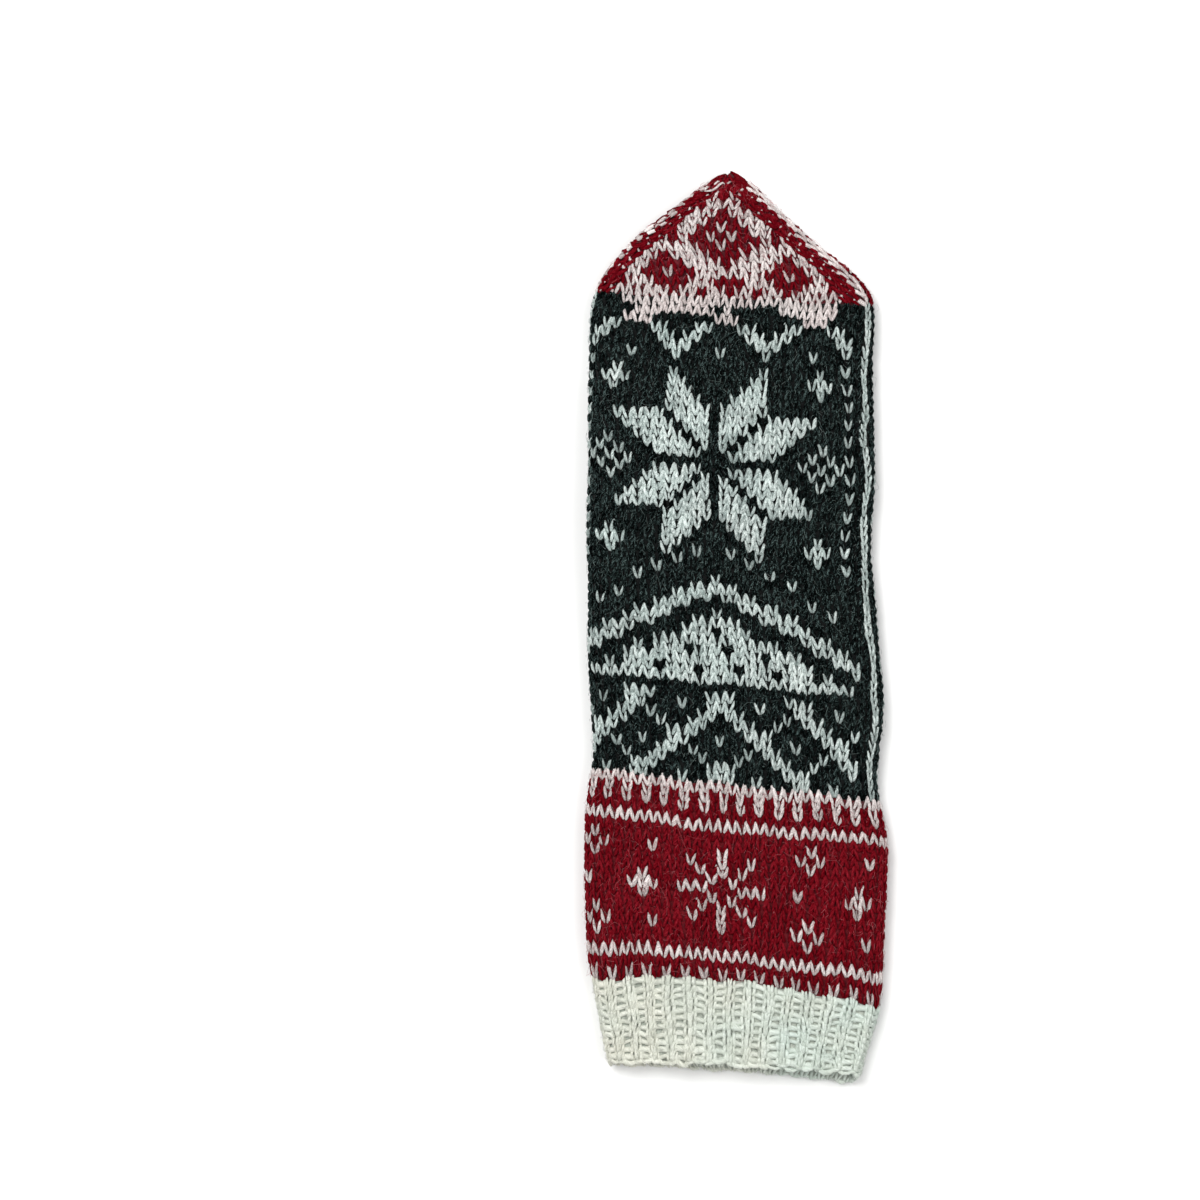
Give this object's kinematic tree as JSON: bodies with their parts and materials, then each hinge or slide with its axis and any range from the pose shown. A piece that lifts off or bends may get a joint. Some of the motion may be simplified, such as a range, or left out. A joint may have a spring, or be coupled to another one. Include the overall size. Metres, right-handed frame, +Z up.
{
  "type": "knitted wool mitten",
  "caption": "Right-hand stranded wool mitten lying flat, palm down: ribbed cuff, banded wrist, hand, pointed tip and a thumb folded under the palm.",
  "frame": {"origin": "on the surface the mitten lies on, under the middle of its outline", "axes": "+Y from the cuff to the fingertip, +Z up out of the back of the hand, +X towards the little finger's side"},
  "size_m": [0.1016, 0.3045, 0.0219],
  "materials": {
    "white_wool": "matt natural white wool, knitted",
    "red_wool": "matt deep red wool, knitted with white",
    "charcoal_wool": "matt heathered charcoal wool, knitted with white"
  },
  "bodies": {
    "root": {"rib_cuff": "white_wool", "cuff_band": "red_wool", "hand": "charcoal_wool", "fingertip": "red_wool", "thumb": "charcoal_wool"}
  },
  "joints": []
}
